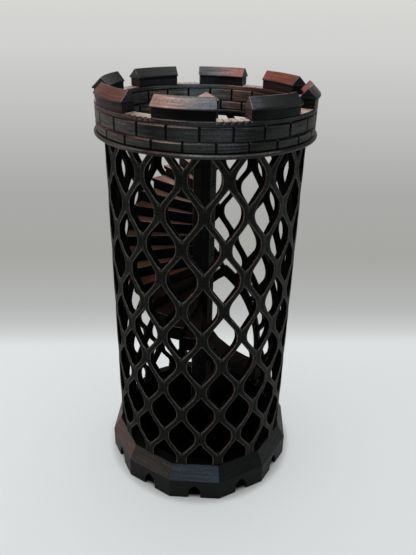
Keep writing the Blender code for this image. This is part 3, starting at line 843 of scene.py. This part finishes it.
def build_newel(material, cap_material):
    """Octagonal shaft of cut stones with thin joints, its peg, and its low pointed cap."""
    top, foot = column_high.z, floor_high.z + GAP
    courses = round((top - foot) / NEWEL_COURSE)
    height = (top - foot) / courses
    bm = bmesh.new()
    rings = [newel_ring(bm, foot, 0.0, 0)]
    for i in range(courses):
        low = foot + i * height
        high = low + height
        if i:
            rings.append(newel_ring(bm, low - NEWEL_JOINT / 2, NEWEL_GROOVE, i % 2))
            rings.append(newel_ring(bm, low + NEWEL_JOINT / 2, NEWEL_GROOVE, i % 2))
            rings.append(newel_ring(bm, low + NEWEL_JOINT, 0.0, i % 2))
        if i < courses - 1:
            rings.append(newel_ring(bm, high - NEWEL_JOINT, 0.0, i % 2))
    rings.append(newel_ring(bm, top, 0.0, (courses - 1) % 2))
    for one, two in zip(rings, rings[1:]):
        join_rings(bm, one, two)
    bm.faces.new(rings[-1])
    # The peg has as many corners as a ring of the shaft, so that the two join up.
    peg = [[bm.verts.new(polar(PEG_RADIUS, angle, z)) for angle in full_turn(PEG_STEPS)]
           for z in (foot, column_low.z)]
    join_rings(bm, rings[0], peg[0])
    join_rings(bm, peg[0], peg[1])
    bm.faces.new(peg[1])
    shaft = finish_mesh(bm, "newel_shaft", NEWEL_CREASE)
    add_piece("newel_shaft", shaft, material, "stair", ["newel_column"])

    edge = cap_low.z + CAP_EDGE
    profile = [(0.0, cap_low.z), (cap_high.x, cap_low.z), (cap_high.x, edge), (0.0, cap_high.z)]
    cap = lathe_mesh("newel_finial", profile, NEWEL_SIDES)
    soften(add_piece("newel_finial", cap, cap_material, "stair", ["newel_cap"]), 0.0002)


def beside_newel(angle, z):
    """Point just outside the flat side of the octagonal newel."""
    half_side = NEWEL_SIDE_SWEEP / 2
    from_flat = math.radians(angle % NEWEL_SIDE_SWEEP - half_side)
    flat = NEWEL_RADIUS * math.cos(math.radians(half_side)) / math.cos(from_flat)
    return polar(flat + SEAM, angle, z)


def build_treads(material):
    """Wedge treads: flat top, thin nosing with a shadow groove under it, plain riser."""
    side_gap = math.degrees(GAP / (NEWEL_RADIUS + GAP)) / 2
    corner_margin = 0.5
    for i in range(TREAD_COUNT):
        name = f"tread_{i + 1:02d}"
        low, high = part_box(name)
        start = TREAD_TOP_ANGLE + i * TREAD_SWEEP
        back = start + side_gap - TREAD_SWEEP
        nose = start + NOSING_SWEEP
        # The inner edge bends where it passes a corner of the newel, or else at its middle.
        corner = math.ceil(back / NEWEL_SIDE_SWEEP) * NEWEL_SIDE_SWEEP
        if not back + corner_margin < corner < start - corner_margin:
            corner = (back + start) / 2
        under_nosing = high.z - NOSING_THICKNESS
        outline = [(back, low.z), (corner, low.z), (start, low.z), (start, under_nosing),
                   (nose, under_nosing), (nose, high.z), (start, high.z), (corner, high.z), (back, high.z)]
        bm = bmesh.new()
        inner = [bm.verts.new(beside_newel(angle, z)) for angle, z in outline]
        outer = [bm.verts.new(polar(TREAD_OUTER, angle, z)) for angle, z in outline]
        join_rings(bm, inner, outer)
        bm.faces.new(inner)
        bm.faces.new(outer)
        step = add_piece(f"step_{i + 1:02d}", finish_mesh(bm, name), material, "stair", [name])
        soften(step, 0.00028)


# ---------------------------------------------------------------- crown
def joint_angles(first):
    """Angles round a brick ring, with extra ones on both sides of each joint."""
    width = BRICK_JOINT_SWEEP
    found = []
    for k in range(BRICK_COUNT):
        joint = first + k * BRICK_SWEEP
        for offset in (-width, -width / 2, width / 2, width) + BRICK_PLACES:
            found.append(joint + offset)
    return sorted(found)


def near_joint(angle, first):
    """Whether an angle is on one of the two inner lines of an upright joint."""
    from_joint = (angle - first + BRICK_SWEEP / 2) % BRICK_SWEEP - BRICK_SWEEP / 2
    return abs(from_joint) < BRICK_JOINT_SWEEP * 0.75


def brick_ring(name, node, first, material):
    """Course of bricks with rounded edges; the first upright joint stands at the given angle."""
    low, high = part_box(node)
    levels = [low.z - GAP + SEAM, low.z + BRICK_EDGE, low.z + 2 * BRICK_EDGE,
              high.z - 3 * BRICK_EDGE, high.z - 2 * BRICK_EDGE, high.z]
    recess = [BRICK_JOINT_DEPTH, BRICK_JOINT_DEPTH * 0.25, 0.0,
              0.0, BRICK_JOINT_DEPTH * 0.35, BRICK_JOINT_DEPTH]

    def groove(angle, z):
        return BRICK_JOINT_DEPTH if near_joint(angle, first) else recess[levels.index(z)]

    mesh = wall_mesh(name, joint_angles(first), levels, lambda angle, z: CROWN_OUTER - groove(angle, z),
                     lambda angle, z: CROWN_INNER + groove(angle, z), smooth=30.0)
    add_piece(name, mesh, material, "crown", [node])


def walkway_angles():
    """Angles round the walkway: a few under each merlon, and six for each stone between two."""
    angles = []
    for k in range(MERLON_COUNT):
        middle = MERLON_START + k * MERLON_PITCH
        angles += [middle + offset for offset in MERLON_PLACES]
        for j in range(PAVERS):
            start = middle + MERLON_SWEEP / 2 + j * PAVER_PITCH
            angles += [start, start + PAVER_JOINT_SWEEP / 2, start + PAVER_PITCH * 0.3,
                       start + PAVER_PITCH * 0.5, start + PAVER_PITCH * 0.7,
                       start + PAVER_PITCH - PAVER_JOINT_SWEEP / 2]
        angles.append(middle + MERLON_SWEEP / 2 + PAVERS * PAVER_PITCH)
    return sorted({round(angle % 360.0, 4) for angle in angles})


def place_in_paver(angle):
    """None under a merlon, else the position across one stone, 0 to 1."""
    half_pitch = MERLON_PITCH / 2
    offset = (angle - MERLON_START + half_pitch) % MERLON_PITCH - half_pitch
    if abs(offset) < MERLON_SWEEP / 2 - 0.01:
        return None
    across = offset - MERLON_SWEEP / 2 if offset > 0 else offset + MERLON_PITCH - MERLON_SWEEP / 2
    on_joint = abs(across - round(across / PAVER_PITCH) * PAVER_PITCH) <= JOINT_DEGREES
    return 0.0 if on_joint else (across % PAVER_PITCH) / PAVER_PITCH


def walkway_section(bm, angle):
    """Closed section of the walkway at an angle; stones bulge outward and lean a little sideways."""
    low, high = walk_low.z - GAP + SEAM, walk_high.z
    spot = place_in_paver(angle)
    in_joint = spot is not None and (spot < JOINT_SHARE or spot > 1 - JOINT_SHARE)
    bulge = 0.0 if spot is None or in_joint else -PAVER_BULGE * (2 * spot - 1) ** 2
    along = ((angle - MERLON_START - MERLON_SWEEP / 2) % MERLON_PITCH) / (PAVERS * PAVER_PITCH)
    lean = 0.0 if spot is None else PAVER_LEAN * math.sin(math.pi * min(1.0, along))
    top = [(CROWN_INNER + inset, fall) for inset, fall in PAVER_EDGE]
    top += [(CROWN_OUTER - inset, fall) for inset, fall in reversed(PAVER_EDGE)]
    section = []
    for radius, fall in top:
        twist = lean * (radius - CROWN_INNER) / (CROWN_OUTER - CROWN_INNER)
        reach = radius
        if radius == CROWN_OUTER:
            reach += bulge - (PAVER_JOINT_INSET if in_joint else 0.0)
        z = high - (PAVER_JOINT_DEPTH if in_joint else fall)
        section.append(bm.verts.new(polar(reach, angle + twist, z)))
    side = CROWN_OUTER - PAVER_JOINT_FOOT_INSET if in_joint else CROWN_OUTER + bulge * 0.5
    wall = ((side, high - PAVER_SIDE_DROP), (CROWN_OUTER, high - PAVER_FOOT_DROP),
            (CROWN_OUTER, low + WALK_EDGE), (CROWN_OUTER - WALK_FOOT_EDGE, low),
            (CROWN_INNER + WALK_FOOT_EDGE, low), (CROWN_INNER, low + WALK_EDGE))
    return section + [bm.verts.new(polar(radius, angle, z)) for radius, z in wall]


def build_walkway(material):
    """Ring under the merlons; its open stretches are laid with five stones each."""
    bm = bmesh.new()
    sections = [walkway_section(bm, angle) for angle in walkway_angles()]
    for i in range(len(sections)):
        join_rings(bm, sections[i - 1], sections[i])
    mesh = finish_mesh(bm, "walkway", smooth=30.0)
    add_piece("walkway", mesh, material, "crown", ["walkway_ring"])


def build_flange(material):
    """Rounded lip on which the crown rests."""
    half_height, middle = (flange_high.z - flange_low.z) / 2, (flange_high.z + flange_low.z) / 2
    profile = [(CROWN_INNER, flange_low.z + FLANGE_EDGE), (CROWN_INNER, flange_high.z - FLANGE_EDGE),
               (CROWN_INNER + FLANGE_EDGE, flange_high.z)]
    for k in range(FLANGE_POINTS):
        turn = math.radians(90 - FLANGE_STEP * k)
        profile.append((flange_high.x - half_height * (1 - math.cos(turn)) * FLANGE_BULGE,
                        middle + half_height * math.sin(turn)))
    profile.append((CROWN_INNER + FLANGE_EDGE, flange_low.z))
    mesh = sweep_mesh("flange_lip", profile, full_turn(ROUND_STEPS), True, smooth=50.0)
    add_piece("flange_lip", mesh, material, "crown", ["crown_flange"])


def build_merlons(material, roof_material):
    """Curved blocks round the crown, each under a gabled roof."""
    block = ring_outline(CROWN_INNER, CROWN_OUTER, merlon_low.z - GAP + SEAM, merlon_high.z + GAP - SEAM)
    ridge = (CROWN_INNER + CROWN_OUTER) / 2
    edge = roof_low.z + EAVE_HEIGHT
    gable = [(ridge, roof_high.z), (EAVE_OUTER, edge), (EAVE_OUTER, roof_low.z),
             (EAVE_INNER, roof_low.z), (EAVE_INNER, edge)]
    half_block = MERLON_SWEEP / 2
    half_roof = half_block + EAVE_SWEEP
    for k in range(MERLON_COUNT):
        middle = MERLON_START + k * MERLON_PITCH
        mesh = sweep_mesh("block", block, even_angles(middle - half_block, MERLON_SWEEP, BLOCK_STEPS))
        merlon = add_piece(f"merlon_block_{k + 1}", mesh, material, "crown", [f"merlon_{k + 1}"])
        soften(merlon, 0.00022)
        mesh = sweep_mesh("roof", gable, even_angles(middle - half_roof, 2 * half_roof, BLOCK_STEPS))
        roof = add_piece(f"roof_{k + 1}", mesh, roof_material, "crown", [f"merlon_roof_{k + 1}"])
        soften(roof, 0.00024, segments=3)


# ---------------------------------------------------------------- stage, light and camera
def build_camera():
    yaw, pitch, roll = (math.radians(v) for v in (CAMERA_YAW, CAMERA_PITCH, CAMERA_ROLL))
    ahead = Vector((-math.sin(yaw) * math.cos(pitch), math.cos(yaw) * math.cos(pitch), -math.sin(pitch)))
    right = Vector((math.cos(yaw), math.sin(yaw), 0.0))
    up = right.cross(ahead)
    right, up = (right * math.cos(roll) + up * math.sin(roll), up * math.cos(roll) - right * math.sin(roll))
    axes = Matrix((right, up, -ahead)).transposed().to_4x4()
    axes.translation = Vector((CAMERA_SIDE, -CAMERA_BACK, CAMERA_HEIGHT))
    data = bpy.data.cameras.new("camera")
    data.lens = CAMERA_LENS
    data.sensor_width = SENSOR_WIDTH
    data.clip_start = 0.01
    data.clip_end = 200.0
    camera = bpy.data.objects.new("camera", data)
    bpy.context.scene.collection.objects.link(camera)
    camera.matrix_world = Matrix.Rotation(math.radians(VIEW_TURN), 4, "Z") @ axes
    bpy.context.scene.camera = camera


def area_light(name, place, aim, width, depth, power):
    data = bpy.data.lights.new(name, "AREA")
    data.shape = "RECTANGLE"
    data.size = width
    data.size_y = depth
    data.energy = power
    light = bpy.data.objects.new(name, data)
    bpy.context.scene.collection.objects.link(light)
    turn = Matrix.Rotation(math.radians(VIEW_TURN), 3, "Z")
    light.location = turn @ Vector(place)
    light.rotation_mode = "QUATERNION"
    light.rotation_quaternion = (turn @ (Vector(aim) - Vector(place))).to_track_quat("-Z", "Y")
    light.visible_camera = False


def table_glow(tree, away):
    """Painted light: a soft grey gradient of glow into which the table falls away behind the tower."""
    logs = maths(tree, "LOGARITHM", maths(tree, "MAXIMUM", away, GLOW_NEAR), 10.0)
    position = ramp(tree, logs, math.log10(GLOW_NEAR), math.log10(GLOW_FAR), curve="LINEAR")
    span = math.log10(GLOW_FAR / GLOW_NEAR)
    stops = [(math.log10(distance / GLOW_NEAR) / span, paint(tone, FLAT_LIGHT))
             for distance, *tone in GLOW_TONES]
    glow = add_node(tree, "ShaderNodeEmission")
    plug(tree, colour_stops(tree, position, stops), glow.inputs["Color"])
    return glow.outputs[0]


def table_material():
    """Matt white, with painted shade under the base and painted light glowing evenly beside and behind it.
    """
    material = bpy.data.materials.new("table")
    material.use_nodes = True
    tree = material.node_tree
    shader = tree.nodes["Principled BSDF"]
    place = add_node(tree, "ShaderNodeTexCoord").outputs["Object"]
    away = vector(tree, "DOT_PRODUCT", place, tuple(polar(1.0, 90.0 + VIEW_TURN)))
    radius = vector(tree, "LENGTH", vector(tree, "MULTIPLY", place, LEVEL))
    clear_of_base = ramp(tree, radius, *SHADE_END)
    plug(tree, blend(tree, clear_of_base, TABLE_SHADE, TABLE_WHITE), shader.inputs["Base Color"])
    shader.inputs["Roughness"].default_value = 0.75
    shader.inputs["Specular IOR Level"].default_value = 0.2
    beside = ramp(tree, radius, *GLOW_BESIDE, 0.0, GLOW_BESIDE_SHARE)
    mixed = add_node(tree, "ShaderNodeMixShader")
    plug(tree, maths(tree, "MAXIMUM", beside, ramp(tree, away, *GLOW_BEHIND)), mixed.inputs[0])
    plug(tree, shader.outputs[0], mixed.inputs[1])
    plug(tree, table_glow(tree, away), mixed.inputs[2])
    plug(tree, mixed.outputs[0], tree.nodes["Material Output"].inputs["Surface"])
    return material


def build_table():
    bm = bmesh.new()
    bmesh.ops.create_grid(bm, x_segments=1, y_segments=1, size=TABLE_SIZE)
    mesh = bpy.data.meshes.new("floor")
    bm.to_mesh(mesh)
    bm.free()
    floor = bpy.data.objects.new("floor", mesh)
    bpy.context.scene.collection.objects.link(floor)
    mesh.materials.append(table_material())


def build_world():
    """Dim light from all round, and a pale backdrop."""
    world = bpy.data.worlds.new("studio")
    bpy.context.scene.world = world
    world.use_nodes = True
    tree = world.node_tree
    background = tree.nodes["Background"]
    seen = add_node(tree, "ShaderNodeLightPath").outputs["Is Camera Ray"]
    tone = srgb(BACKDROP_TONE)
    plug(tree, blend(tree, seen, ROOM_LIGHT, (tone, tone, tone * 0.98, 1.0)), background.inputs["Color"])
    background.inputs["Strength"].default_value = 1.0


shell_silk = silk("shell_silk", SHELL_TONES, (20, 20, 19), rim=SHELL_RADIUS, streaks=0.25, gloss=0.06)
base_silk = silk("base_silk", BASE_WALL_TONES, (12, 12, 12), slopes=BASE_SLOPE_TONES, streaks=0.25,
                 gloss=0.15)
# The floor inside the tower is painted almost black, as painted shade.
floor_silk = silk("floor_silk", FLOOR_SHADE_TONES, (1, 1, 1), slopes=FLOOR_SHADE_TONES, gloss=0.0)
newel_silk = silk("newel_silk", NEWEL_TONES, (6, 6, 6), slopes=STAIR_WALL_TONES, streaks=0.2, gloss=0.05)
stair_silk = silk("stair_silk", STAIR_WALL_TONES, ROSE_WITH_PAINTED_SHEEN, slopes=ROOF_TONES, painted_light_by_height=TREAD_PAINTED_LIGHT,
                  gloss=0.08)
crown_silk = silk("crown_silk", CROWN_WALL_TONES, ROSE_WITH_PAINTED_SHEEN, slopes=ROOF_TONES, inside=CROWN_INSIDE_TONES,
                  joints=(CROWN_INNER, CROWN_OUTER), streaks=0.55)
flange_silk = silk("flange_silk", CROWN_WALL_TONES, (40, 34, 32), slopes=FLANGE_TONES, streaks=0.3)
merlon_silk = silk("merlon_silk", MERLON_TONES, (30, 30, 30), slopes=MERLON_TONES,
                   inside=MERLON_INSIDE_TONES, gloss=0.12)
roof_silk = silk("roof_silk", CROWN_WALL_TONES, (110, 95, 90), slopes=ROOF_TONES,
                 inner_slopes=ROOF_INSIDE_TONES, streaks=0.30)

build_shell(shell_silk)
build_surround(shell_silk)
build_base(base_silk, floor_silk)
build_newel(newel_silk, stair_silk)
build_treads(stair_silk)
build_flange(flange_silk)
brick_ring("bricks_lower", "lower_brick_course", BRICK_SWEEP / 2, crown_silk)
brick_ring("bricks_upper", "upper_brick_course", 0.0, crown_silk)
build_walkway(crown_silk)
build_merlons(merlon_silk, roof_silk)

build_table()
build_world()
for lamp in LAMPS:
    area_light(*lamp)
build_camera()
bpy.context.scene.view_settings.view_transform = "Standard"
